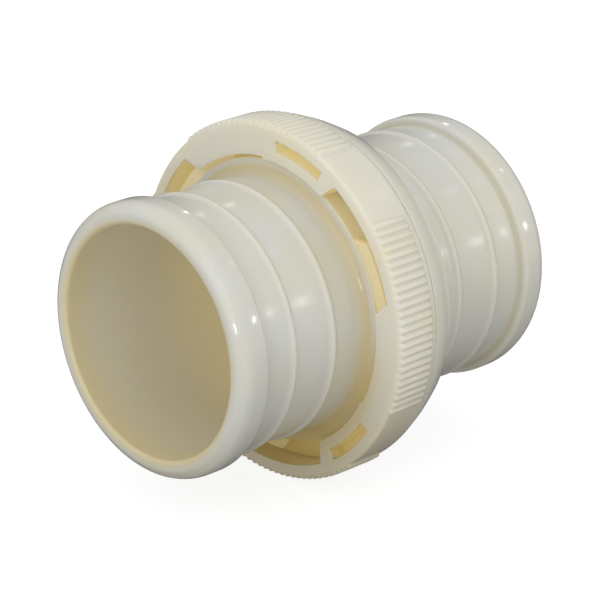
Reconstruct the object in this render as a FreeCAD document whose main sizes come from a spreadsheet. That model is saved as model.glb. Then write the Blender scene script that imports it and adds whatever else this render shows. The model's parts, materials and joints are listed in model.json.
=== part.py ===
import FreeCAD, Part
import math
import os
import Sketcher

# Quick-turn coupling for layflat water hose. The bore lies along X: the male hose tail points to
# -X, the female hose tail to +X, and the origin is on the bore's axis halfway along the coupling.
# A station is a distance along the bore from the male tail's open end. An angle is counted about
# +X, from +Y towards +Z.

os.makedirs("parts", exist_ok=True)
doc = FreeCAD.newDocument("hose_coupling")

DRIVING_SIZES = {
    # both hose tails
    "overall_length": 117.5,
    "bore_radius": 32.1,
    "tail_radius": 35.6,
    "lip_radius": 38.0,
    "lip_width": 9.2,
    "lip_front_round": 4.0,
    "lip_back_round": 1.2,
    "bore_round": 1.2,
    "first_rib": 19.8,
    "second_rib": 34.3,
    "rib_round": 2.0,
    "rib_height": 0.8,
    # male half: flange, spigot and three lugs
    "flange_front": 46.1,
    "flange_back": 51.2,
    "flange_radius": 40.0,
    "neck_fillet": 3.8,
    "flange_round": 0.3,
    "spigot_end": 57.5,
    "lug_radius": 43.4,
    "lug_thickness": 2.6,
    "lug_angle": 25.0,
    "lug_span": 42.0,
    "lug_clearance": 0.1,
    "ramp_pitch": 18.0,
    # locking collar
    "collar_front": 44.5,
    "collar_width": 14.3,
    "collar_radius": 50.0,
    "collar_bore": 46.6,
    "collar_round": 1.0,
    "hook_radius": 41.1,
    "hook_thickness": 2.2,
    "stop_radius": 40.4,
    "stop_depth": 6.0,
    "notch_angle": 3.5,
    "notch_span": 42.5,
    "notch_lean": 4.0,
    "stop_angle": 88.0,
    "window_angle": 94.5,
    "window_span": 22.0,
    "window_inner": 43.5,
    "window_outer": 46.9,
    "window_depth": 4.6,
    "channel_lead": 12.0,
    "channel_back": 10.1,
    "notch_run_out": 0.5,
    "tooth_height": 0.8,
    "tooth_base": 1.7,
    "tooth_crest": 1.0,
    "tooth_step": 2.5,
    "knurl_start": 51.0,
    "knurl_front": 0.6,
    "knurl_length": 12.0,
    # collar retaining ring and its groove
    "ring_front": 55.0,
    "ring_width": 2.0,
    "ring_inner": 44.0,
    "ring_outer": 48.0,
    "ring_gap": 9.0,
    "ring_play": 0.05,
    # how far a cut or a rib's root runs past the surface it meets
    "overrun": 1.0,
    # female half: hub, seal seat, socket and shoulder
    "hub_front": 51.7,
    "hub_flange_width": 3.0,
    "hub_radius": 46.2,
    "hub_neck": 42.4,
    "seat_radius": 39.5,
    "seat_depth": 2.6,
    "socket_radius": 35.95,
    "socket_end": 58.0,
    "shoulder_front": 59.1,
    "shoulder_middle": 64.5,
    "shoulder_back": 69.9,
    "shoulder_front_radius": 49.8,
    "shoulder_middle_radius": 47.7,
    "shoulder_back_radius": 44.9,
    # face seal
    "seal_inner": 36.2,
    "seal_outer": 39.4,
    "seal_thickness": 3.05,
    "seal_round": 0.8,
}
SIDES = 3
KNURL_SECTORS = 4
TEETH_PER_SECTOR = 25

sheet = doc.addObject("Spreadsheet::Sheet", "Sizes")
for row, (alias, number) in enumerate(DRIVING_SIZES.items(), start=1):
    sheet.set(f"A{row}", alias)
    sheet.set(f"B{row}", str(number))
    sheet.setAlias(f"B{row}", alias)
doc.recompute()


class Size:
    """A size that knows its number and the spreadsheet expression that gives it."""

    def __init__(self, number, text):
        self.number = number
        self.text = text

    def __add__(self, other):
        other = as_size(other)
        return Size(self.number + other.number, f"({self.text} + {other.text})")

    def __sub__(self, other):
        other = as_size(other)
        return Size(self.number - other.number, f"({self.text} - {other.text})")

    def __mul__(self, other):
        other = as_size(other)
        return Size(self.number * other.number, f"({self.text} * {other.text})")

    def __truediv__(self, other):
        other = as_size(other)
        return Size(self.number / other.number, f"({self.text} / {other.text})")


def as_size(value):
    if isinstance(value, Size):
        return value
    return Size(float(value), repr(float(value)))


def size(alias):
    return Size(float(sheet.get(alias)), f"Sizes.{alias}")


def polar(radius, angle):
    """The two coordinates of a point at that radius and angle about the bore."""
    turn = math.radians(angle.number)
    across = Size(radius.number * math.cos(turn), f"({radius.text} * cos({angle.text} * 1deg))")
    up = Size(radius.number * math.sin(turn), f"({radius.text} * sin({angle.text} * 1deg))")
    return across, up


def bind(thing, property_name, value):
    thing.setExpression(property_name, value.text)


def new_body(name):
    body = doc.addObject("PartDesign::Body", name)
    body.Label = name
    return body


def place(body, station, turned=False):
    """Puts a body's origin at that station; a turned body has its own +X towards -X."""
    if turned:
        body.Placement.Rotation = FreeCAD.Rotation(FreeCAD.Vector(0, 0, 1), 180)
    bind(body, "Placement.Base.x", station - size("overall_length") / 2)


def origin_part(body, role):
    for feature in body.Origin.OriginFeatures:
        if feature.Role == role:
            return feature
    raise ValueError(role)


def new_sketch(body, name, plane, turn=None):
    """A sketch on one of the body's own planes, which turn degrees can tip about its X axis."""
    sketch = body.newObject("Sketcher::SketchObject", name)
    sketch.AttachmentSupport = [(origin_part(body, plane), "")]
    sketch.MapMode = "FlatFace"
    if turn is not None:
        sketch.AttachmentOffset = FreeCAD.Placement(
            FreeCAD.Vector(), FreeCAD.Rotation(FreeCAD.Vector(1, 0, 0), turn.number)
        )
        bind(sketch, "AttachmentOffset.Rotation.Angle", turn)
    return sketch


def pin_point(sketch, geometry, end, corner, axes="XY"):
    """Fixes one end of a line at that corner, with both distances taken from the sheet."""
    for axis, value in zip("XY", corner):
        if axis in axes:
            rule = Sketcher.Constraint(f"Distance{axis}", -1, 1, geometry, end, value.number)
            index = sketch.addConstraint(rule)
            bind(sketch, f"Constraints[{index}]", value)


def outline(sketch, corners, arcs=()):
    """A closed outline through the corners; each side in arcs is a circle about the axis."""
    points = [FreeCAD.Vector(x.number, y.number, 0) for x, y in corners]
    count = len(points)
    sides = []
    for index, start in enumerate(points):
        end = points[(index + 1) % count]
        if index in arcs:
            first = math.atan2(start.y, start.x)
            last = math.atan2(end.y, end.x)
            circle = Part.Circle(FreeCAD.Vector(), FreeCAD.Vector(0, 0, 1), start.Length)
            if (last - first) % math.tau < math.pi:
                sides.append((sketch.addGeometry(Part.ArcOfCircle(circle, first, last)), 1, 2))
            else:
                sides.append((sketch.addGeometry(Part.ArcOfCircle(circle, last, first)), 2, 1))
            sketch.addConstraint(Sketcher.Constraint("Coincident", sides[-1][0], 3, -1, 1))
        else:
            sides.append((sketch.addGeometry(Part.LineSegment(start, end)), 1, 2))
    for index in range(count):
        this_side, this_start, _ = sides[index]
        last_side, _, last_end = sides[index - 1]
        sketch.addConstraint(
            Sketcher.Constraint("Coincident", last_side, last_end, this_side, this_start)
        )
        axes = "XY"
        if (index - 1) % count in arcs:
            # the arc already fixes this corner's radius, so one distance places it
            axes = "Y" if abs(points[index].x) > abs(points[index].y) else "X"
        pin_point(sketch, this_side, this_start, corners[index], axes)
    return sketch


def circle_in(sketch, centre, radius):
    at = FreeCAD.Vector(centre[0].number, centre[1].number, 0)
    index = sketch.addGeometry(Part.Circle(at, FreeCAD.Vector(0, 0, 1), radius.number))
    if abs(centre[0].number) < 1e-9 and abs(centre[1].number) < 1e-9:
        sketch.addConstraint(Sketcher.Constraint("Coincident", index, 3, -1, 1))
    else:
        pin_point(sketch, index, 3, centre)
    rule = sketch.addConstraint(Sketcher.Constraint("Radius", index, radius.number))
    bind(sketch, f"Constraints[{rule}]", radius)


def spin(body, name, sketch, kind="Revolution"):
    """Turns a sketch all the way round the bore's axis, adding or (Groove) cutting."""
    feature = body.newObject(f"PartDesign::{kind}", name)
    feature.Profile = sketch
    feature.ReferenceAxis = (sketch, ["H_Axis"])
    feature.Angle = 360
    sketch.Visibility = False
    return feature


def wind(body, name, sketch, turn_degrees, kind="AdditiveHelix"):
    """Carries a sketch round the axis for that angle along the bayonet's ramp."""
    feature = body.newObject(f"PartDesign::{kind}", name)
    feature.Profile = sketch
    feature.ReferenceAxis = (sketch, ["H_Axis"])
    feature.Mode = "pitch-height-angle"
    bind(feature, "Pitch", size("ramp_pitch"))
    bind(feature, "Height", size("ramp_pitch") * turn_degrees / 360)
    feature.Pitch = size("ramp_pitch").number
    feature.Height = size("ramp_pitch").number * turn_degrees.number / 360
    return feature


def sink(body, name, sketch, depth):
    """Cuts a sketch from its plane towards the body's +X for that depth."""
    feature = body.newObject("PartDesign::Pocket", name)
    feature.Profile = sketch
    feature.Type = "Length"
    feature.Reversed = True
    bind(feature, "Length", depth)
    return feature


def round_robin(body, name, features, count):
    """Repeats features evenly round the bore."""
    pattern = body.newObject("PartDesign::PolarPattern", name)
    pattern.Originals = features
    pattern.Axis = (origin_part(body, "X_Axis"), [""])
    pattern.Angle = 360
    pattern.Occurrences = count
    body.Tip = pattern
    return pattern


def soften(body, name, circles, radius):
    """Rounds the full circular edges that lie at the given (station, radius) places."""
    doc.recompute()
    base = body.Tip
    names = []
    for number, edge in enumerate(base.Shape.Edges, start=1):
        curve = edge.Curve
        if not isinstance(curve, Part.Circle) or abs(curve.Axis.x) < 0.999:
            continue
        for along, out in circles:
            if abs(curve.Center.x - along.number) < 0.01 and abs(curve.Radius - out.number) < 0.01:
                names.append(f"Edge{number}")
    if len(names) < len(circles):
        raise RuntimeError(f"{name}: found {len(names)} of {len(circles)} edges")
    feature = body.newObject("PartDesign::Fillet", name)
    feature.Base = (base, names)
    feature.Radius = radius.number
    bind(feature, "Radius", radius)
    return feature


def tail_outline(inner_end, body_side):
    """The turned section shared by both halves, from the open end to body_side's corners."""
    zero = as_size(0)
    return [
        (zero, size("bore_radius")),
        (zero, size("lip_radius")),
        (size("lip_width"), size("lip_radius")),
        (size("lip_width"), size("tail_radius")),
        *body_side,
        (inner_end, size("bore_radius")),
    ]


def add_ribs(body):
    """Two low rounded ribs that grip the hose."""
    radius = size("tail_radius") + size("rib_height") - size("rib_round")
    for name, place_along in (("first", size("first_rib")), ("second", size("second_rib"))):
        sketch = new_sketch(body, f"{name}_rib_section", "XY_Plane")
        circle_in(sketch, (place_along, radius), size("rib_round"))
        spin(body, f"{name}_rib", sketch)


def soften_tail(body):
    """The rolled lip's edges and the root of the lip."""
    zero = as_size(0)
    lip_back = [(size("lip_width"), size("lip_radius"))]
    soften(body, "lip_rounding", [(zero, size("lip_radius"))], size("lip_front_round"))
    soften(body, "lip_back_rounding", lip_back, size("lip_back_round"))
    soften(body, "mouth_rounding", [(zero, size("bore_radius"))], size("bore_round"))


def make_male_hose_tail():
    """Moulded tail with a flange, a spigot for the seal and three ramped bayonet lugs."""
    body = new_body("male_hose_tail")
    flange = size("flange_radius")
    spigot = size("tail_radius")
    beyond = [
        (size("flange_front"), size("tail_radius")),
        (size("flange_front"), flange),
        (size("flange_back"), flange),
        (size("flange_back"), spigot),
        (size("spigot_end"), spigot),
    ]
    sketch = new_sketch(body, "tail_section", "XY_Plane")
    outline(sketch, tail_outline(size("spigot_end"), beyond))
    spin(body, "tail", sketch)
    add_ribs(body)
    soften_tail(body)
    neck = [(size("flange_front"), size("tail_radius"))]
    soften(body, "neck_rounding", neck, size("neck_fillet"))
    soften(body, "flange_rounding", [(size("flange_front"), flange)], size("flange_round"))

    # the lug's front follows the ramp on the back of the collar's hook, a clearance behind it
    hook_start = size("notch_angle") + size("notch_span")
    ramp_per_degree = size("ramp_pitch") / 360
    hook_back = size("collar_front") + size("hook_thickness")
    lug_front = hook_back + (size("lug_angle") - hook_start) * ramp_per_degree + size("lug_clearance")
    lug_back = lug_front + size("lug_thickness")
    root = flange - size("overrun")
    section = new_sketch(body, "lug_section", "XY_Plane", size("lug_angle"))
    corners = [
        (lug_front, root),
        (lug_front, size("lug_radius")),
        (lug_back, size("lug_radius")),
        (lug_back, root),
    ]
    outline(section, corners)
    lug = wind(body, "lug", section, size("lug_span"))
    round_robin(body, "lugs", [lug], SIDES)
    place(body, as_size(0))
    return body


def make_female_hose_tail():
    """Moulded tail with the coned shoulder, the hub that the collar runs on and the seal's seat."""
    body = new_body("female_hose_tail")
    length = size("overall_length")
    hub_front = length - size("hub_front")
    flange_back = hub_front - size("hub_flange_width")
    beyond = [
        (length - size("shoulder_back"), size("tail_radius")),
        (length - size("shoulder_back"), size("shoulder_back_radius")),
        (length - size("shoulder_middle"), size("shoulder_middle_radius")),
        (length - size("shoulder_front"), size("shoulder_front_radius")),
        (length - size("shoulder_front"), size("hub_neck")),
        (flange_back, size("hub_neck")),
        (flange_back, size("hub_radius")),
        (hub_front, size("hub_radius")),
        (hub_front, size("seat_radius")),
        (hub_front - size("seat_depth"), size("seat_radius")),
        (hub_front - size("seat_depth"), size("socket_radius")),
        (length - size("socket_end"), size("socket_radius")),
    ]
    sketch = new_sketch(body, "tail_section", "XY_Plane")
    outline(sketch, tail_outline(length - size("socket_end"), beyond))
    spin(body, "tail", sketch)
    add_ribs(body)
    soften_tail(body)
    neck = [(length - size("shoulder_back"), size("tail_radius"))]
    soften(body, "neck_rounding", neck, size("neck_fillet"))
    place(body, length, turned=True)
    return body


def tooth_outline():
    """Outer outline of the knurled band: sectors of teeth between plain arcs."""
    base = size("collar_radius").number
    crest = base + size("tooth_height").number
    half_base = math.degrees(size("tooth_base").number / 2 / base)
    half_crest = math.degrees(size("tooth_crest").number / 2 / crest)
    step = size("tooth_step").number
    root = base - size("collar_round").number
    teeth = []
    for sector in range(KNURL_SECTORS):
        start = size("knurl_start").number + sector * 360 / KNURL_SECTORS + half_base
        for tooth in range(TEETH_PER_SECTOR):
            middle = start + tooth * step
            teeth.append(
                [
                    (root, middle - half_base),
                    (base, middle - half_base),
                    (crest, middle - half_crest),
                    (crest, middle + half_crest),
                    (base, middle + half_base),
                    (root, middle + half_base),
                ]
            )
    return teeth


def make_locking_collar():
    """Knurled collar: three hooks with ramped backs, three notches, three stops with a window."""
    body = new_body("locking_collar")
    zero = as_size(0)
    width = size("collar_width")
    bore = size("collar_bore")
    stop = size("stop_radius")
    section = new_sketch(body, "ring_section", "XY_Plane")
    corners = [
        (zero, stop),
        (zero, size("collar_radius")),
        (width, size("collar_radius")),
        (width, bore),
        (size("stop_depth"), bore),
        (size("stop_depth"), stop),
    ]
    outline(section, corners)
    spin(body, "ring", section)
    outer_edges = [(zero, size("collar_radius")), (width, size("collar_radius"))]
    soften(body, "edge_rounding", outer_edges, size("collar_round"))

    # notch through the front web, and the hook's larger inner radius up to the stop
    inside = stop - size("overrun")
    notch_end = size("notch_angle") + size("notch_span")
    corners = [
        polar(inside, size("notch_angle") - size("notch_lean")),
        polar(bore, size("notch_angle")),
        polar(bore, notch_end),
        polar(size("hook_radius"), notch_end + size("notch_lean")),
        polar(size("hook_radius"), size("stop_angle")),
        polar(inside, size("stop_angle")),
    ]
    notch_sketch = new_sketch(body, "notch_outline", "YZ_Plane")
    outline(notch_sketch, corners, arcs=(1, 3, 5))
    notch = sink(body, "notch", notch_sketch, size("stop_depth") + size("notch_run_out"))

    # lug channel behind the hook: it gets shallower along the ramp until it meets the stop
    lead = size("channel_lead")
    ramp_per_degree = size("ramp_pitch") / 360
    channel_start = size("notch_angle") + lead
    channel_front = size("hook_thickness") - (size("notch_span") - lead) * ramp_per_degree
    channel_sketch = new_sketch(body, "channel_section", "XY_Plane", channel_start)
    corners = [
        (channel_front, inside),
        (channel_front, bore),
        (size("channel_back"), bore),
        (size("channel_back"), inside),
    ]
    outline(channel_sketch, corners)
    travel = size("stop_angle") - channel_start
    channel = wind(body, "channel", channel_sketch, travel, "SubtractiveHelix")

    # window that lightens the front of the stop
    window_end = size("window_angle") + size("window_span")
    corners = [
        polar(size("window_inner"), size("window_angle")),
        polar(size("window_outer"), size("window_angle")),
        polar(size("window_outer"), window_end),
        polar(size("window_inner"), window_end),
    ]
    window_sketch = new_sketch(body, "window_outline", "YZ_Plane")
    outline(window_sketch, corners, arcs=(1, 3))
    window = sink(body, "window", window_sketch, size("window_depth"))
    round_robin(body, "bayonet", [notch, channel, window], SIDES)

    # groove for the retaining ring
    groove_front = size("ring_front") - size("collar_front") - size("ring_play")
    groove_back = groove_front + size("ring_width") + size("ring_play") * 2
    groove_radius = size("ring_outer") + size("ring_play")
    corners = [
        (groove_front, bore - size("overrun")),
        (groove_front, groove_radius),
        (groove_back, groove_radius),
        (groove_back, bore - size("overrun")),
    ]
    groove_sketch = new_sketch(body, "groove_section", "XY_Plane")
    outline(groove_sketch, corners)
    spin(body, "groove", groove_sketch, "Groove")

    # knurled sectors
    knurl_sketch = new_sketch(body, "knurl_outline", "YZ_Plane")
    for tooth in tooth_outline():
        points = []
        for radius, angle in tooth:
            turn = math.radians(angle)
            points.append(FreeCAD.Vector(radius * math.cos(turn), radius * math.sin(turn), 0))
        for index, point in enumerate(points):
            knurl_sketch.addGeometry(Part.LineSegment(point, points[(index + 1) % len(points)]))
    knurl_sketch.AttachmentOffset.Base.z = size("knurl_front").number
    bind(knurl_sketch, "AttachmentOffset.Base.z", size("knurl_front"))
    knurl = body.newObject("PartDesign::Pad", "knurl")
    knurl.Profile = knurl_sketch
    bind(knurl, "Length", size("knurl_length"))
    place(body, size("collar_front"))
    return body


def make_retaining_ring():
    """Split ring that sits in the collar's groove, behind the hub's flange."""
    body = new_body("retaining_ring")
    zero = as_size(0)
    sketch = new_sketch(body, "ring_outline", "YZ_Plane")
    circle_in(sketch, (zero, zero), size("ring_outer"))
    circle_in(sketch, (zero, zero), size("ring_inner"))
    ring = body.newObject("PartDesign::Pad", "ring")
    ring.Profile = sketch
    bind(ring, "Length", size("ring_width"))
    half = size("ring_gap") / 2
    gap_sketch = new_sketch(body, "gap_outline", "YZ_Plane")
    below = zero - size("ring_outer") - size("overrun")
    above = zero - size("ring_inner") + size("overrun")
    corners = [(zero - half, below), (half, below), (half, above), (zero - half, above)]
    outline(gap_sketch, corners)
    sink(body, "gap", gap_sketch, size("ring_width"))
    place(body, size("ring_front"))
    return body


def make_face_seal():
    """Rubber ring in the hub's seat; its rounded face meets the male flange."""
    body = new_body("face_seal")
    zero = as_size(0)
    sketch = new_sketch(body, "seal_section", "XY_Plane")
    corners = [
        (zero, size("seal_inner")),
        (zero, size("seal_outer")),
        (size("seal_thickness"), size("seal_outer")),
        (size("seal_thickness"), size("seal_inner")),
    ]
    outline(sketch, corners)
    spin(body, "seal", sketch)
    edges = [(zero, size("seal_inner")), (zero, size("seal_outer"))]
    soften(body, "bead_rounding", edges, size("seal_round"))
    place(body, size("hub_front") + size("seat_depth") - size("seal_thickness"))
    return body


bodies = [
    make_male_hose_tail(),
    make_female_hose_tail(),
    make_locking_collar(),
    make_retaining_ring(),
    make_face_seal(),
]
doc.recompute()

for thing in doc.Objects:
    if "Invalid" in thing.State or "Error" in thing.State:
        raise RuntimeError(f"{thing.Label} failed: {thing.State}")
for body in bodies:
    if body.Shape.isNull() or not body.Shape.isValid():
        raise RuntimeError(f"{body.Label} has no valid shape")
    if len(body.Shape.Solids) != 1:
        raise RuntimeError(f"{body.Label} has {len(body.Shape.Solids)} solids")
for body in bodies:
    body.Shape.exportStep(f"parts/{body.Label}.step")
    box = body.Shape.BoundBox
    print(f"{body.Label}: {body.Shape.Volume / 1000:.2f} cm3, X {box.XMin:.2f} to {box.XMax:.2f}")
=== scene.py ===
import json
import math

import bmesh
import bpy
from mathutils import Matrix, Vector


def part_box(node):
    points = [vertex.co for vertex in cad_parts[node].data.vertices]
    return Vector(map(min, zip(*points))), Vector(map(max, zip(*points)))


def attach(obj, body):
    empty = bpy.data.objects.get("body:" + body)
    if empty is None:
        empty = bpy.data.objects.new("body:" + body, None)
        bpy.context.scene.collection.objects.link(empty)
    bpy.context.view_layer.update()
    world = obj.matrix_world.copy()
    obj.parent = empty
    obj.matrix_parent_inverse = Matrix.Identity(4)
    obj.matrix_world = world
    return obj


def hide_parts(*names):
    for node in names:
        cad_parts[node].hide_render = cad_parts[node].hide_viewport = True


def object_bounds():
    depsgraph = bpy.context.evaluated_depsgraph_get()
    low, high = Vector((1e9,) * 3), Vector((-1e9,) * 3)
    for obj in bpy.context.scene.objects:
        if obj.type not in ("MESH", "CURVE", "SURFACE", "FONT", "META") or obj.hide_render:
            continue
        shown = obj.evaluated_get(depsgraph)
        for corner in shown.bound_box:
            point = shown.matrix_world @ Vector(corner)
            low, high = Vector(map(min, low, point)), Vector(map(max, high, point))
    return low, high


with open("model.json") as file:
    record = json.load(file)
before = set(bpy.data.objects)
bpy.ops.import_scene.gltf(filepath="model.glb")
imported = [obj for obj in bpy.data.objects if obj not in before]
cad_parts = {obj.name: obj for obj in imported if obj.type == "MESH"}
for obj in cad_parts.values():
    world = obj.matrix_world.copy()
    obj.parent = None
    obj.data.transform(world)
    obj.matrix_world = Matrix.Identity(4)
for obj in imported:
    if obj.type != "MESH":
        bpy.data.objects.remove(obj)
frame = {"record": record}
cad_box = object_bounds()

# ---- Female hose tail -------------------------------------------------------------------------
# The half that carries the collar: one injection moulding in natural ivory nylon, with a rolled
# lip and two ribs for the hose, a coned shoulder, and a hub that hides inside the collar. Every
# surface of it is turned about the bore, so one closed section makes the whole of it.

MM = 0.001
WELD = 0.002
SECTORS = 12
TAIL_STEPS = 360
mount_radius = {mount["name"]: mount["dims"].get("r_mm") for mount in frame["record"]["mounts"]}
BORE_RADIUS = mount_radius["waterway"]
LIP_RADIUS = mount_radius["male_tail_lip"]
TAIL_RADIUS = 35.6
LIP_WIDTH = 9.2
LIP_CONE = ((0, 35.2, 0.6), (1.45, 37.3, 0.7), (3.3, LIP_RADIUS, 0.7))
LIP_BACK_ROUND = 1.2
LIP_ROOT_ROUND = 0.5
MOUTH_ROUND = 1.2
ROUND_SEGMENTS_PER_MM = 2.5
RIB_PLACES = (19.8, 34.3)
RIB_HALF_WIDTH = 1.9
RIB_HEIGHT = 0.8
RIB_STEPS = 8
NECK_FILLET = 3.8
COUPLING_LENGTH = (cad_box[1].x - cad_box[0].x) / MM
IVORY = (0.715, 0.708, 0.640)
# the painted shade colour of shut-in places, and the painted golden light they give off
IVORY_SHUT_IN_SHADE = (0.62, 0.51, 0.24)
IVORY_PAINTED_LIGHT = (0.17, 0.135, 0.058)
IVORY_SOAK = 0.30
IVORY_POLISH = 0.08
# how far the underside is painted darker, as shade
IVORY_UNDERSIDE_SHADE = 0.50
SPECK = (0.36, 0.28, 0.14)
SPECK_STRENGTH = 0.10
NYLON_RELIEF = 0.00006


def rib(place):
    """A low rib that rises from the tail and falls back to it in one smooth swell."""
    steps = [step / RIB_STEPS for step in range(-RIB_STEPS, RIB_STEPS + 1)]
    swell = [RIB_HEIGHT * math.cos(math.pi / 2 * step) ** 2 for step in steps]
    return [(place + RIB_HALF_WIDTH * step, TAIL_RADIUS + rise) for step, rise in zip(steps, swell)]


def hose_tail(inner_end, beyond):
    """A tail's section: distances from its open end, radii and roundings, up to what is beyond."""
    return [
        (0, BORE_RADIUS, MOUTH_ROUND),
        *LIP_CONE,
        (LIP_WIDTH, LIP_RADIUS, LIP_BACK_ROUND),
        (LIP_WIDTH, TAIL_RADIUS, LIP_ROOT_ROUND),
        *rib(RIB_PLACES[0]),
        *rib(RIB_PLACES[1]),
        *beyond,
        (inner_end, BORE_RADIUS),
    ]


def spun(corners, start, along, steps):
    """A closed section spun round the bore: one sector is spun, then copied round to close the ring.
    A corner is a distance from start, a radius and, where it is rounded, the size of the round."""
    mesh = bmesh.new()
    points = [mesh.verts.new((start + along * at * MM, out * MM, 0)) for at, out, *_ in corners]
    mesh.faces.new(points)
    for rounding in sorted({corner[2] for corner in corners if len(corner) > 2}):
        bmesh.ops.bevel(
            mesh,
            geom=[point for point, corner in zip(points, corners) if corner[2:] == (rounding,)],
            offset=rounding * MM,
            offset_type="OFFSET",
            affect="VERTICES",
            segments=2 + round(rounding * ROUND_SEGMENTS_PER_MM),
            profile=0.5,
            material=-1,
        )
    bmesh.ops.delete(mesh, geom=mesh.faces[:], context="FACES_ONLY")
    bmesh.ops.spin(
        mesh,
        geom=mesh.verts[:] + mesh.edges[:],
        cent=(0, 0, 0),
        axis=(1, 0, 0),
        angle=math.tau / SECTORS,
        steps=steps // SECTORS,
    )
    sector = mesh.verts[:] + mesh.edges[:] + mesh.faces[:]
    for place in range(1, SECTORS):
        copy = bmesh.ops.duplicate(mesh, geom=sector)["geom"]
        bmesh.ops.rotate(
            mesh,
            verts=[part for part in copy if isinstance(part, bmesh.types.BMVert)],
            cent=(0, 0, 0),
            matrix=Matrix.Rotation(math.tau * place / SECTORS, 3, "X"),
        )
    bmesh.ops.remove_doubles(mesh, verts=mesh.verts, dist=WELD * MM)
    bmesh.ops.recalc_face_normals(mesh, faces=mesh.faces)
    return mesh


def finished(name, mesh, sharp_degrees=38):
    """Makes the mesh an object, smooth except across edges sharper than that."""
    for edge in mesh.edges:
        edge.smooth = edge.calc_face_angle(0) < math.radians(sharp_degrees)
    for face in mesh.faces:
        face.smooth = True
    data = bpy.data.meshes.new(name)
    mesh.to_mesh(data)
    mesh.free()
    piece = bpy.data.objects.new(name, data)
    bpy.context.scene.collection.objects.link(piece)
    return piece


class Level:
    """A number or colour that varies over a surface; arithmetic on it adds Math nodes."""

    def __init__(self, recipe, socket):
        self.recipe = recipe
        self.socket = socket

    def sum(self, operation, first, second):
        return self.recipe.add("ShaderNodeMath", {"operation": operation}, {0: first, 1: second})

    def __add__(self, other):
        return self.sum("ADD", self, other)

    def __radd__(self, other):
        return self.sum("ADD", other, self)

    def __sub__(self, other):
        return self.sum("SUBTRACT", self, other)

    def __rsub__(self, other):
        return self.sum("SUBTRACT", other, self)

    def __mul__(self, other):
        return self.sum("MULTIPLY", self, other)

    def __rmul__(self, other):
        return self.sum("MULTIPLY", other, self)


class Recipe:
    """The nodes of one material or of the sky, every one of them added through add()."""

    def __init__(self, tree):
        self.tree = tree
        self.tree.nodes.clear()

    def add(self, kind, settings, sockets, output=0):
        """A node with its settings and then its sockets; gives back one output, where it has any."""
        node = self.tree.nodes.new(kind)
        for setting, value in settings.items():
            setattr(node, setting, value)
        for socket, value in sockets.items():
            if isinstance(value, Level):
                self.tree.links.new(value.socket, node.inputs[socket])
            else:
                node.inputs[socket].default_value = value
        return Level(self, node.outputs[output]) if node.outputs else None

    def ramp(self, level, low, high, bottom=0.0, top=1.0):
        """Goes smoothly from bottom to top as the level goes from low to high."""
        return self.add(
            "ShaderNodeMapRange",
            {"interpolation_type": "SMOOTHSTEP"},
            {"Value": level, "From Min": low, "From Max": high, "To Min": bottom, "To Max": top},
            "Result",
        )

    def tint(self, share, first, second):
        """Mixes two colours by a level."""
        ends = [end if isinstance(end, Level) else (*end, 1.0) for end in (first, second)]
        return self.add("ShaderNodeMix", {"data_type": "RGBA"}, {0: share, 6: ends[0], 7: ends[1]}, 2)


class Finish(Recipe):
    """The surface of one moulding: where a point lies on it, in metres, and how it is finished."""

    def __init__(self, name):
        self.material = bpy.data.materials.new(name)
        self.material.use_nodes = True
        super().__init__(self.material.node_tree)
        self.place = self.add("ShaderNodeTexCoord", {}, {}, "Object")
        self.along, self.side, self.up = (
            self.add("ShaderNodeSeparateXYZ", {}, {"Vector": self.place}, part) for part in "XYZ"
        )
        square = self.side * self.side + self.up * self.up
        self.out = self.add("ShaderNodeMath", {"operation": "SQRT"}, {0: square})
        self.turn = self.add("ShaderNodeMath", {"operation": "ARCTAN2"}, {0: self.up, 1: self.side})

    def cloud(self, size, detail, roughness=0.5):
        """Soft random patches of about that size in metres, from 0 to 1."""
        return self.add(
            "ShaderNodeTexNoise",
            {},
            {"Vector": self.place, "Scale": 1 / size, "Detail": detail, "Roughness": roughness},
            "Fac",
        )

    def dress(self, piece, colour, roughness, height, depth, rest):
        """Closes the recipe on one shader and gives the material to the piece. The height makes a
        relief of that depth in metres, and rest holds the shader's other sockets."""
        relief = {"Height": height, "Distance": depth, "Strength": 1.0}
        bump = self.add("ShaderNodeBump", {}, relief, "Normal")
        sockets = {"Base Color": colour, "Roughness": roughness, "Normal": bump, **rest}
        shader = self.add("ShaderNodeBsdfPrincipled", {}, sockets, "BSDF")
        self.add("ShaderNodeOutputMaterial", {}, {"Surface": shader})
        piece.data.materials.append(self.material)


def scaled(colour, by):
    return tuple(part * share for part, share in zip(colour, by))


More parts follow.
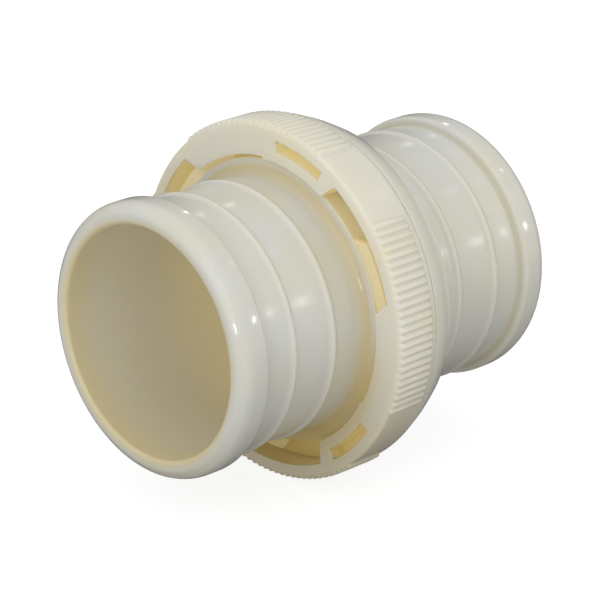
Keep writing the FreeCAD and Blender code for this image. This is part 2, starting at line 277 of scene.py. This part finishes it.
def nylon(name, piece, colour, shut_in_shade, painted_light_colour, soak, polish, underside_shade, shades):
    """Natural nylon as moulded: glossy and faintly mottled. Where a wall is shut in, painted shade
    takes the colour towards a darker golden tone, and the surface gives off painted golden light,
    standing in for light that has soaked through the plastic; the underside is painted darker and
    browner, as shade.
    soak is how much light gets into the plastic, polish how rough the smoothest of it is, and the
    number
    after them how far the underside is painted darker. shades() gives the levels over this piece:
    painted shade and painted golden light, and where used a lighter, creamier colour with painted
    highlights, a lower gloss and grooves."""
    finish = Finish(name)
    look = shades(finish)
    mottle = finish.cloud(0.030, 3, 0.45)
    grain = finish.cloud(0.0035, 4, 0.6)
    skin = finish.cloud(0.0009, 3, 0.6)
    warm = scaled(colour, (1.0, 0.985, 0.93))
    cool = scaled(colour, (0.985, 0.995, 1.03))
    cream_and_highlight_colour = scaled(colour, (1.14, 1.11, 1.06))
    underside_shade_colour = scaled(colour, (0.72, 0.67, 0.56))
    low_shut_in_shade = scaled(shut_in_shade, (0.90, 0.80, 0.42))
    body = finish.tint(finish.ramp(mottle, 0.35, 0.65), cool, warm)
    # a lighter, creamier colour on the shoulder, and painted highlights on the rib crests
    body = finish.tint(look.get("cream_and_highlight", 0.0), body, cream_and_highlight_colour)
    # painted shade: darker and browner towards the bottom
    body = finish.tint(finish.ramp(finish.up, 0.006, -0.046) * underside_shade, body, underside_shade_colour)
    # painted shade in shut-in places, darker and more golden low down
    low = finish.ramp(finish.up, 0.012, -0.030) * finish.ramp(finish.out, 0.0355, 0.0365)
    body = finish.tint(look["depth"], body, finish.tint(low, shut_in_shade, low_shut_in_shade))
    speck = finish.ramp(finish.cloud(0.0016, 2, 0.5), 0.77, 0.80)
    body = finish.tint(speck * SPECK_STRENGTH, body, SPECK)
    scuff = finish.ramp(finish.cloud(0.012, 5, 0.6), 0.52, 0.72)
    roughness = polish + grain * 0.03 + scuff * 0.05 + look.get("matt", 0.0)
    height = grain * 0.3 + skin * 0.10 + mottle * 2.0 - look.get("groove", 0.0)
    rest = {
        "IOR": 1.53,
        "Subsurface Weight": soak,
        "Subsurface Radius": (1.0, 0.78, 0.42),
        "Subsurface Scale": 0.0035,
        # painted golden light from shut-in places, standing in for light soaked through the plastic
        "Emission Color": finish.tint(look["painted_light_share"], (0.0, 0.0, 0.0), painted_light_colour),
        "Emission Strength": 1.0,
    }
    finish.dress(piece, body, roughness, height, NYLON_RELIEF, rest)


FEMALE_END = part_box("female_hose_tail")[1].x
SHOULDER = ((69.9, 44.9, 0.8), (64.5, 47.7, 1.5), (59.1, 49.8, 0.3))
HUB_NECK = 42.4
HUB_FRONT = 51.7
HUB_RADIUS = 46.2
HUB_FLANGE = 3.0
SEAT_RADIUS = 39.5
SEAT_DEPTH = 2.6
SOCKET_RADIUS = 35.95
SOCKET_END = 58.0
# how strongly the rib crests are painted lighter, as a highlight
CREST_HIGHLIGHT = 0.4
RUBBED_MATT = 0.10


def from_female_end(station):
    return COUPLING_LENGTH - station


shoulder = [(from_female_end(station), *rest) for station, *rest in SHOULDER]
hub = [
    (shoulder[-1][0], HUB_NECK),
    (from_female_end(HUB_FRONT) - HUB_FLANGE, HUB_NECK),
    (from_female_end(HUB_FRONT) - HUB_FLANGE, HUB_RADIUS),
    (from_female_end(HUB_FRONT), HUB_RADIUS),
    (from_female_end(HUB_FRONT), SEAT_RADIUS),
    (from_female_end(HUB_FRONT) - SEAT_DEPTH, SEAT_RADIUS),
    (from_female_end(HUB_FRONT) - SEAT_DEPTH, SOCKET_RADIUS),
    (from_female_end(SOCKET_END), SOCKET_RADIUS),
]
neck_corner = (shoulder[0][0], TAIL_RADIUS, NECK_FILLET)
outline = hose_tail(from_female_end(SOCKET_END), [neck_corner, *shoulder, *hub])
mesh = spun(outline, FEMALE_END, -1, TAIL_STEPS)
female_half = finished("female_tail", mesh)


def in_bore(finish):
    """The wall of the bore; it fades out across the tail's end face."""
    return finish.ramp(finish.out, 0.0345, 0.0325)


def lit(finish):
    """How much light gets in from above: all of it higher than 8 mm under the bore's middle line,
    and about a fifth of it at the bottom of the coupling."""
    return finish.ramp(finish.up, -0.070, -0.008)


def rubbed(finish):
    """The tail between its ribs, and the bore, both rubbed to a lower gloss."""
    return finish.ramp(finish.out, 0.0362, 0.0358)


def rib_crest(finish):
    """The crests of the ribs, painted lighter than the tail as a highlight. They lie between about 21
    and
    42 mm from the middle of the coupling on either half."""
    from_middle = finish.add("ShaderNodeMath", {"operation": "ABSOLUTE"}, {0: finish.along})
    between = finish.ramp(from_middle, 0.0205, 0.0215) * finish.ramp(from_middle, 0.0425, 0.0415)
    return finish.ramp(finish.out, 0.0359, 0.0363) * between


def female_shades(finish):
    """Painted shade in the bore, most of all far down it, on the hub behind the collar's notches, at
    the shoulder's foot and in the corner behind the lip, with painted golden light in the bore and on
    the hub; a lighter, creamier colour on the shoulder, painted highlights on the rib crests, and
    rubbed between the ribs."""
    bore = in_bore(finish)
    inmost = bore * finish.ramp(finish.along, 0.028, 0.004)
    hub_side = finish.ramp(finish.along, 0.0002, -0.0002) * finish.ramp(finish.out, 0.0355, 0.0362)
    shoulder_side = finish.ramp(finish.out, 0.0385, 0.0425) * (1 - hub_side)
    foot = finish.ramp(finish.along, 0.016, 0.0105) * finish.ramp(finish.out, 0.041, 0.036)
    behind_lip = finish.ramp(finish.along, FEMALE_END - 0.0112, FEMALE_END - 0.0096)
    behind_lip = behind_lip * finish.ramp(finish.along, FEMALE_END - 0.0088, FEMALE_END - 0.0092)
    behind_lip = behind_lip * finish.ramp(finish.out, 0.0372, 0.0360) * (1 - bore)
    # painted shade in the bore, on the hub, at the shoulder's foot and behind the lip; painted golden
    # light in the bore and on the hub; painted highlights on the rib crests
    return {
        "depth": bore * 0.22 + inmost * 0.20 + hub_side * 0.95 + foot * 0.12 + behind_lip * 0.26,
        "painted_light_share": bore * 0.30 + inmost * 0.46 + hub_side * lit(finish),
        "cream_and_highlight": shoulder_side + rib_crest(finish) * CREST_HIGHLIGHT,
        "matt": rubbed(finish) * RUBBED_MATT,
    }


nylon(
    "female_nylon_moulded",
    female_half,
    IVORY,
    IVORY_SHUT_IN_SHADE,
    IVORY_PAINTED_LIGHT,
    soak=IVORY_SOAK,
    polish=IVORY_POLISH,
    underside_shade=IVORY_UNDERSIDE_SHADE,
    shades=female_shades,
)
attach(female_half, "female_half")
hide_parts("female_hose_tail")

# ---- Face seal --------------------------------------------------------------------------------
# A moulded ring of black nitrile rubber that lies in the hub's seat. Its rounded face takes the
# squeeze of the male flange when the collar is turned home.

seal_low, seal_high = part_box("face_seal")
SEAL_OUTER = seal_high.y / MM
SEAL_INNER = 36.2
SEAL_THICKNESS = (seal_high.x - seal_low.x) / MM
SEAL_ROUND = 0.8
RUBBER = (0.022, 0.022, 0.024)
RUBBER_BLOOM = (0.055, 0.055, 0.057)
section = [
    (0, SEAL_INNER, SEAL_ROUND),
    (0, SEAL_OUTER, SEAL_ROUND),
    (SEAL_THICKNESS, SEAL_OUTER),
    (SEAL_THICKNESS, SEAL_INNER),
]
mesh = spun(section, seal_low.x, 1, TAIL_STEPS)
seal = finished("seal_ring", mesh)
rubber = Finish("nitrile_rubber")
bloom = rubber.cloud(0.006, 4, 0.6)
pores = rubber.cloud(0.0006, 3, 0.6)
rubber.dress(
    seal,
    colour=rubber.tint(rubber.ramp(bloom, 0.4, 0.75), RUBBER, RUBBER_BLOOM),
    roughness=0.55 + bloom * 0.15,
    height=pores,
    depth=0.00004,
    rest={"IOR": 1.5},
)
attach(seal, "female_half")
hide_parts("face_seal")

# ---- Retaining ring ---------------------------------------------------------------------------
# A split ring of white acetal, sprung into the collar's inner groove behind the hub's flange, so
# that the collar can turn on the hub but can't come off it. The gap is where it is squeezed.

ring_low, ring_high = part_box("retaining_ring")
RING_OUTER = ring_high.y / MM
RING_INNER = 44.0
RING_GAP = 9.0
RING_STEPS = 260
RING_EDGE = 0.15
RING_SHARP_DEGREES = 60
ACETAL = (0.80, 0.80, 0.77)
ACETAL_HAZE = (0.74, 0.74, 0.70)
half_gap = math.asin(RING_GAP / (RING_OUTER + RING_INNER))
first = -math.pi / 2 + half_gap
section = [
    (ring_low.x, RING_INNER),
    (ring_low.x, RING_OUTER),
    (ring_high.x, RING_OUTER),
    (ring_high.x, RING_INNER),
]
mesh = bmesh.new()
corners = [
    mesh.verts.new((along, radius * MM * math.cos(first), radius * MM * math.sin(first)))
    for along, radius in section
]
bmesh.ops.spin(
    mesh,
    geom=[mesh.faces.new(corners), *mesh.edges, *mesh.verts],
    cent=(0, 0, 0),
    axis=(1, 0, 0),
    angle=math.tau - 2 * half_gap,
    steps=RING_STEPS,
)
bmesh.ops.recalc_face_normals(mesh, faces=mesh.faces)
sharp_angle = math.radians(RING_SHARP_DEGREES)
sharp = [edge for edge in mesh.edges if edge.calc_face_angle(0) > sharp_angle]
bmesh.ops.bevel(
    mesh,
    geom=sharp,
    offset=RING_EDGE * MM,
    affect="EDGES",
    segments=2,
    profile=0.5,
    material=-1,
    clamp_overlap=True,
)
ring = finished("snap_ring", mesh)
acetal = Finish("white_acetal")
haze = acetal.cloud(0.008, 4, 0.55)
acetal.dress(
    ring,
    colour=acetal.tint(acetal.ramp(haze, 0.35, 0.7), ACETAL, ACETAL_HAZE),
    roughness=0.30 + haze * 0.15,
    height=acetal.cloud(0.0012, 3, 0.6),
    depth=0.00003,
    rest={"IOR": 1.48},
)
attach(ring, "collar")
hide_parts("retaining_ring")

# ---- Locking collar ---------------------------------------------------------------------------
# The knurled ring that a hand turns: one moulding with a web across its front. The web has three
# notches that let the lugs in, three thin hooks with a ramp behind them that pull the lugs back,
# and three deep stops, each lightened by a window. Four sectors of teeth give the grip.

COLLAR_STEPS = 1440
COLLAR_RADIUS = 50.0
COLLAR_BORE = 46.6
COLLAR_ROUND = 1.0
COLLAR_BACK_ROUND = 0.5
collar_low, collar_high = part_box("locking_collar")
COLLAR_WIDTH = (collar_high.x - collar_low.x) / MM
SIDES = 3
NOTCH = (3.5, 46.0)
NOTCH_LEAN = 4.0
NOTCH_BOW = 0.9
STOP_ANGLE = 88.0
STOP_RADIUS = 40.4
STOP_DEPTH = 6.0
HOOK_RADIUS = 41.1
HOOK_THICKNESS = 2.2
RAMP_PER_DEGREE = 18.0 / 360
WINDOW = (94.5, 116.5)
WINDOW_RADII = (43.5, 46.9)
WINDOW_MIDDLE = sum(WINDOW_RADII) / 2
WINDOW_DEPTH = 4.6
WINDOW_CORNER = 0.7
WINDOW_EDGE_REACH = 0.02
WINDOW_DRAFT = 0.25
GROOVE = (10.45, 12.55)
GROOVE_RADIUS = 48.05
RIM_ROUND = 0.45
WEB_FRONT_DEPTH = 1.0
WEB_BACK_STRETCH = 1.6
TOOTH_HEIGHT = 0.8
TOOTH_PITCH = 2.5
TOOTH_BASE = 0.98
TOOTH_CREST = 0.18
TOOTH_CUT = 0.72
TOOTH_PEAK = 0.4
TOOTH_ROOT = COLLAR_RADIUS - COLLAR_ROUND * 1.05
TEETH_IN_SECTOR = 25
KNURL_SECTORS = 4
KNURL_START = 51.0
KNURL_ROWS = (0.0, 0.8, 11.8, 12.7)
KNURL_STATIONS = (6.5, 11.8, 12.1, 12.4, 12.7)
IVORY_COLLAR = (0.80, 0.765, 0.64)
# the collar's painted shade colour for shut-in places, and its painted golden light
COLLAR_SHUT_IN_SHADE = (0.66, 0.57, 0.33)
COLLAR_PAINTED_LIGHT = (0.19, 0.17, 0.085)
SINK_LINE = (0.0416, 0.0485)
SINK_LINE_FADE = 0.0006
NEAR = 0.001
SHAPED_WELD = 0.004


def smooth(value, low, high):
    """Goes smoothly from 0 to 1 as the value goes from low to high."""
    share = min(max((value - low) / (high - low), 0.0), 1.0)
    return share * share * (3 - 2 * share)


def web_radius(angle):
    """The web's inner radius at an angle: notch, slanted start, hook, stop, slanted end."""
    angle %= 360 / SIDES
    if angle < NOTCH[0]:
        return STOP_RADIUS + (COLLAR_BORE - STOP_RADIUS) * angle / NOTCH[0]
    if angle < NOTCH[1]:
        return COLLAR_BORE
    if angle < NOTCH[1] + NOTCH_LEAN:
        lean = (angle - NOTCH[1]) / NOTCH_LEAN
        return COLLAR_BORE + (HOOK_RADIUS - COLLAR_BORE) * lean**NOTCH_BOW
    return HOOK_RADIUS if angle < STOP_ANGLE else STOP_RADIUS


def web_back(angle):
    """How deep the web is at an angle: the hook's ramp, then the stop."""
    angle %= 360 / SIDES
    if NOTCH[1] <= angle < STOP_ANGLE:
        return HOOK_THICKNESS + (angle - NOTCH[1]) * RAMP_PER_DEGREE
    return STOP_DEPTH


def tooth(angle):
    """How far a tooth stands out at an angle, as a share of its height."""
    in_sector = (angle - KNURL_START) % (360 / KNURL_SECTORS)
    if in_sector > TEETH_IN_SECTOR * TOOTH_PITCH:
        return 0.0
    from_peak = abs(in_sector % TOOTH_PITCH / TOOTH_PITCH - TOOTH_PEAK) * 2
    from_peak = min(from_peak, 2 - from_peak)
    return 1 - TOOTH_CUT * smooth(from_peak, TOOTH_CREST, TOOTH_BASE)


def spot(point):
    """Where a point lies round the bore: its radius in millimetres and its angle in degrees."""
    out = math.hypot(point.y, point.z) / MM
    return out, math.degrees(math.atan2(point.z, point.y)) % 360


def move_out(vertex, out, new_out):
    """Moves a vertex that lies at radius out straight to radius new_out."""
    vertex.co.y *= new_out / out
    vertex.co.z *= new_out / out


section = [
    (0, STOP_RADIUS, RIM_ROUND),
    (0, WINDOW_RADII[0]),
    (0, COLLAR_BORE),
    (0, WINDOW_RADII[1]),
    (0, COLLAR_RADIUS, COLLAR_ROUND),
    *[(along, COLLAR_RADIUS) for along in KNURL_STATIONS],
    (COLLAR_WIDTH, COLLAR_RADIUS, COLLAR_BACK_ROUND),
    (COLLAR_WIDTH, COLLAR_BORE, RIM_ROUND),
    (GROOVE[1], COLLAR_BORE),
    (GROOVE[1], GROOVE_RADIUS),
    (GROOVE[0], GROOVE_RADIUS),
    (GROOVE[0], COLLAR_BORE),
    (STOP_DEPTH, COLLAR_BORE),
    (STOP_DEPTH, STOP_RADIUS, RIM_ROUND),
]
mesh = spun(section, collar_low.x, 1, COLLAR_STEPS)

# the web is drawn in or let out to its shape at each angle, and the teeth are drawn out
for vertex in mesh.verts:
    along = (vertex.co.x - collar_low.x) / MM
    out, angle = spot(vertex.co)
    angle = round(angle, 4)
    new_out = out
    if out < COLLAR_BORE - NEAR:
        share = (COLLAR_BORE - out) / (COLLAR_BORE - STOP_RADIUS)
        new_out = COLLAR_BORE - share * (COLLAR_BORE - web_radius(angle))
    if out < COLLAR_BORE + NEAR and WEB_FRONT_DEPTH < along < STOP_DEPTH + NEAR:
        back = STOP_DEPTH - along
        along = web_back(angle) - back * min(1.0, web_back(angle) / STOP_DEPTH * WEB_BACK_STRETCH)
    if out > TOOTH_ROOT:
        ends = smooth(along, *KNURL_ROWS[:2]) * (1 - smooth(along, *KNURL_ROWS[2:]))
        new_out = out + TOOTH_HEIGHT * ends * tooth(angle)
    vertex.co.x = collar_low.x + along * MM
    move_out(vertex, out, new_out)
bmesh.ops.remove_doubles(mesh, verts=mesh.verts, dist=SHAPED_WELD * MM)


def in_window(face, start, end):
    middle = face.calc_center_median()
    out, angle = spot(middle)
    on_front = abs(middle.x - collar_low.x) < NEAR * MM
    return on_front and WINDOW_RADII[0] < out < WINDOW_RADII[1] and start < angle < end


# windows: the patch of the front face between the window's radii is rounded at its corners and
# pushed in to its depth, with a little draft
for side in range(SIDES):
    start, end = (edge + side * 360 / SIDES for edge in WINDOW)
    patch = [face for face in mesh.faces if in_window(face, start, end)]
    for vertex in {vertex for face in patch for vertex in face.verts}:
        out, angle = spot(vertex.co)
        to_end = min(angle - start, end - angle) * math.radians(out)
        on_edge = min(abs(out - radius) for radius in WINDOW_RADII) < WINDOW_EDGE_REACH
        if on_edge and to_end < WINDOW_CORNER:
            pull = WINDOW_CORNER - math.sqrt(max(WINDOW_CORNER**2 - (WINDOW_CORNER - to_end) ** 2, 0))
            move_out(vertex, out, out + math.copysign(pull, WINDOW_MIDDLE - out))
    made = bmesh.ops.extrude_face_region(mesh, geom=patch)
    bmesh.ops.delete(mesh, geom=patch, context="FACES")
    for vertex in [part for part in made["geom"] if isinstance(part, bmesh.types.BMVert)]:
        out = spot(vertex.co)[0]
        draft = (WINDOW_MIDDLE - out) * WINDOW_DRAFT / (WINDOW_RADII[1] - WINDOW_MIDDLE)
        move_out(vertex, out, out + draft)
        vertex.co.x += WINDOW_DEPTH * MM
bmesh.ops.recalc_face_normals(mesh, faces=mesh.faces)
collar = finished("twist_collar", mesh, sharp_degrees=32)


def collar_shades(finish):
    """Painted shade and painted golden light in the windows and down the bore, and painted shade low
    on the web's inner edge; a faint sink line where each hook meets its stop."""
    behind_front = finish.ramp(finish.along, collar_low.x + 0.0002, collar_low.x + 0.0018)
    # painted shade and painted golden light inside the collar, behind its front face
    shut_in_shade = finish.ramp(finish.out, 0.0481, 0.0477) * behind_front
    third = math.tau / SIDES
    from_line = finish.add(
        "ShaderNodeMath",
        {"operation": "FLOORED_MODULO"},
        {0: finish.turn - math.radians(STOP_ANGLE) + third * 1.5, 1: third},
    )
    off_line = finish.add("ShaderNodeMath", {"operation": "ABSOLUTE"}, {0: from_line - third / 2})
    line = finish.ramp(off_line, 0.006, 0.0015) * (1 - behind_front)
    line = line * finish.ramp(finish.out, SINK_LINE[0], SINK_LINE[0] + SINK_LINE_FADE)
    line = line * finish.ramp(finish.out, SINK_LINE[1], SINK_LINE[1] - SINK_LINE_FADE)
    # painted shade low on the web's inner edge
    inner_edge_shade = finish.ramp(finish.out, 0.0462, 0.0412) * (1 - behind_front)
    inner_edge_shade = inner_edge_shade * finish.ramp(finish.up, 0.014, -0.022)
    return {
        "depth": shut_in_shade * 0.95 + line * 0.08 + inner_edge_shade * 0.36,
        "painted_light_share": shut_in_shade * lit(finish),
        "groove": line * 0.8,
    }


nylon(
    "collar_nylon_moulded",
    collar,
    IVORY_COLLAR,
    COLLAR_SHUT_IN_SHADE,
    COLLAR_PAINTED_LIGHT,
    soak=0.60,
    polish=0.18,
    underside_shade=0.85,
    shades=collar_shades,
)
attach(collar, "collar")
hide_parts("locking_collar")

# ---- Male hose tail ---------------------------------------------------------------------------
# The half that plugs in: the same nylon and the same tail, with a flange that bears on the seal,
# a spigot that runs into the female socket, and three ramped lugs that the collar's hooks pull.

MALE_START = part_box("male_hose_tail")[0].x
FLANGE = (46.1, 51.2)
FLANGE_RADIUS = 40.0
FLANGE_ROUND = 0.45
SPIGOT_END = 57.5
LUG_RADIUS = 43.4
LUG_ANGLES = (25.0, 67.0)
LUG_THICKNESS = 2.6
LUG_CLEARANCE = 0.1
LUG_LEAD = 4.3
LUG_TAIL = 1.5
LUG_ROUND = 0.3
LUG_ROWS = (47.3, 49.9)
LUG_INSETS = (0.02, 0.1)
SPIGOT_ROUND = 0.5
MALE_STEPS = 720
COLLAR_FRONT = (collar_low.x - MALE_START) / MM


def lug_front(angle):
    """How far the lug's front lies from the open end: just behind the hook's ramp."""
    ramp = (angle - NOTCH[1]) * RAMP_PER_DEGREE
    return COLLAR_FRONT + HOOK_THICKNESS + LUG_CLEARANCE + ramp


flange = [
    (FLANGE[0], TAIL_RADIUS, NECK_FILLET),
    (FLANGE[0], FLANGE_RADIUS, FLANGE_ROUND),
    (LUG_ROWS[0], FLANGE_RADIUS),
    (LUG_ROWS[0], LUG_RADIUS, LUG_ROUND),
    (LUG_ROWS[1], LUG_RADIUS, LUG_ROUND),
    (LUG_ROWS[1], FLANGE_RADIUS),
    (FLANGE[1], FLANGE_RADIUS),
    (FLANGE[1], TAIL_RADIUS),
    (SPIGOT_END, TAIL_RADIUS, SPIGOT_ROUND),
]
mesh = spun(hose_tail(SPIGOT_END, flange), MALE_START, 1, MALE_STEPS)

# the band that stands out all round is let down to the flange except along the three lugs
for vertex in mesh.verts:
    station = (vertex.co.x - MALE_START) / MM
    out, angle = spot(vertex.co)
    angle %= 360 / SIDES
    if out < FLANGE_RADIUS - NEAR or not LUG_ROWS[0] - NEAR < station < LUG_ROWS[1] + NEAR:
        continue
    stands = min(max((angle - LUG_ANGLES[0] + LUG_LEAD) / LUG_LEAD, 0.0), 1.0)
    stands *= 1 - smooth(angle, LUG_ANGLES[1] - LUG_TAIL, LUG_ANGLES[1])
    new_out = FLANGE_RADIUS + (out - FLANGE_RADIUS) * stands
    if stands > 0:
        share = (station - LUG_ROWS[0]) / (LUG_ROWS[1] - LUG_ROWS[0])
        front = max(lug_front(angle), FLANGE[0] + FLANGE_ROUND + LUG_INSETS[0])
        back = min(lug_front(angle) + LUG_THICKNESS, FLANGE[1] - LUG_INSETS[1])
        station = front + (back - front) * share
    vertex.co.x = MALE_START + station * MM
    move_out(vertex, out, new_out)
bmesh.ops.remove_doubles(mesh, verts=mesh.verts, dist=SHAPED_WELD * MM)
bmesh.ops.recalc_face_normals(mesh, faces=mesh.faces)
male_half = finished("male_tail", mesh)


def male_shades(finish):
    """Painted shade and painted golden light in the bore, most of all at its mouth and far in,
    painted shade down the neck to the flange, and painted shade and golden light on the rim and lugs
    inside the collar; painted highlights on the rib crests; rubbed to a lower gloss between the ribs."""
    bore = in_bore(finish)
    mouth = bore * finish.ramp(finish.along, MALE_START + 0.014, MALE_START + 0.001)
    inmost = bore * finish.ramp(finish.along, -0.032, -0.004)
    outside = finish.ramp(finish.out, 0.0350, 0.0355)
    foot = finish.ramp(finish.along, MALE_START + 0.0405, MALE_START + 0.0445) * outside
    crease = finish.ramp(finish.along, MALE_START + 0.0425, MALE_START + 0.0456) * outside
    near_edge = finish.ramp(finish.out, 0.0376, 0.0390) * finish.ramp(finish.up, -0.014, 0.006)
    crease = crease * (1 - near_edge)
    rim = finish.ramp(finish.out, 0.0396, 0.0404)
    # painted shade in the bore, down the neck and on the rim and lugs; painted golden light in the
    # bore and on the rim and lugs
    bore_shade = bore * 0.22 + mouth * 0.40 + inmost * 0.20
    flange_shade = foot * 0.26 + crease * 0.50 + rim * (0.42 - crease * 0.40)
    return {
        "depth": bore_shade + flange_shade,
        "painted_light_share": bore * 0.14 + mouth * 0.14 + inmost * 0.62 + rim * lit(finish) * 1.05,
        "cream_and_highlight": rib_crest(finish) * CREST_HIGHLIGHT,
        "matt": rubbed(finish) * RUBBED_MATT,
    }


nylon(
    "male_nylon_moulded",
    male_half,
    IVORY,
    IVORY_SHUT_IN_SHADE,
    IVORY_PAINTED_LIGHT,
    soak=IVORY_SOAK,
    polish=IVORY_POLISH,
    underside_shade=IVORY_UNDERSIDE_SHADE,
    shades=male_shades,
)
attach(male_half, "male_half")
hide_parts("male_hose_tail")

# ---- Studio -----------------------------------------------------------------------------------
# A plain white floor under the coupling, white light from all round, a soft box towards each end,
# four small lamps for the glints on its lips and tails, and a long lens.

FLOOR_SIZE = 6.0
WHITE = (1, 1, 1, 1)
bpy.ops.mesh.primitive_plane_add(size=FLOOR_SIZE, location=(0, 0, cad_box[0].z))
floor = bpy.context.object
floor.name = "floor"
floor.visible_diffuse = False
floor.visible_glossy = False
floor.visible_shadow = False
paper = bpy.data.materials.new("white_paper")
paper.use_nodes = True
paper_shader = paper.node_tree.nodes["Principled BSDF"]
for socket, value in {
    "Base Color": (0.30, 0.30, 0.30, 1),
    "Roughness": 0.9,
    "Specular IOR Level": 0.0,
    "Emission Color": WHITE,
    "Emission Strength": 0.84,
}.items():
    paper_shader.inputs[socket].default_value = value
floor.data.materials.append(paper)

# the light from all round is strongest overhead and from the near side, and weak behind and below
SKY_BRIGHTEST = (-0.47, -0.42, 0.78)
SKY_FADE = (-0.70, 0.60)
SKY_STRENGTHS = (0.14, 0.83)
studio = bpy.data.worlds.new("studio")
studio.use_nodes = True
bpy.context.scene.world = studio
sky = Recipe(studio.node_tree)
direction = sky.add("ShaderNodeTexCoord", {}, {}, "Generated")
dot_product = {"operation": "DOT_PRODUCT"}
towards = sky.add("ShaderNodeVectorMath", dot_product, {0: direction, 1: SKY_BRIGHTEST}, "Value")
strength = sky.ramp(towards, *SKY_FADE, *SKY_STRENGTHS)
light = sky.add("ShaderNodeBackground", {}, {"Color": WHITE, "Strength": strength}, "Background")
sky.add("ShaderNodeOutputWorld", {}, {"Surface": light})


def light_box(name, direction, distance, size, watts):
    """A square light of that size in metres that looks at the coupling from that direction."""
    lamp = bpy.data.lights.new(name, "AREA")
    lamp.shape = "SQUARE"
    lamp.size = size
    lamp.energy = watts
    holder = bpy.data.objects.new(name, lamp)
    towards = Vector(direction).normalized()
    holder.location = towards * distance
    holder.rotation_mode = "QUATERNION"
    holder.rotation_quaternion = towards.to_track_quat("Z", "Y")
    bpy.context.scene.collection.objects.link(holder)


BOX_SIZE = 1.1
BOX_DISTANCE = 1.4
LAMP_DISTANCE = 1.3
light_box("broad_box", (-0.78, -0.32, 0.44), BOX_DISTANCE, BOX_SIZE, watts=3.1)
light_box("side_box", (0.72, -0.66, 0.25), BOX_DISTANCE, BOX_SIZE, watts=1.3)
light_box("low_glint", (0.66, -0.72, 0.23), LAMP_DISTANCE, size=0.090, watts=0.30)
light_box("high_glint", (0.68, -0.28, 0.68), LAMP_DISTANCE, size=0.045, watts=0.05)
light_box("top_glint", (0.66, 0.50, 0.57), LAMP_DISTANCE, size=0.040, watts=0.07)
light_box("lip_glint", (-0.91, -0.38, 0.07), LAMP_DISTANCE, size=0.090, watts=0.45)

CAMERA_AIM = Vector((-0.0015, 0.0, -0.0029))
CAMERA_BEARING = 44.6
CAMERA_HEIGHT = 20.78
CAMERA_DISTANCE = 0.7627
CAMERA_LENS = 165.66
CAMERA_SENSOR = 36
bearing = math.radians(CAMERA_BEARING)
height = math.radians(CAMERA_HEIGHT)
back = Vector(
    (
        -math.sin(bearing) * math.cos(height),
        -math.cos(bearing) * math.cos(height),
        math.sin(height),
    )
)
camera = bpy.data.objects.new("camera", bpy.data.cameras.new("camera"))
camera.data.lens = CAMERA_LENS
camera.data.sensor_width = CAMERA_SENSOR
camera.location = (cad_box[0] + cad_box[1]) / 2 + CAMERA_AIM + back * CAMERA_DISTANCE
camera.rotation_mode = "QUATERNION"
camera.rotation_quaternion = back.to_track_quat("Z", "Y")
bpy.context.scene.collection.objects.link(camera)
bpy.context.scene.camera = camera
bpy.context.scene.view_settings.view_transform = "Standard"
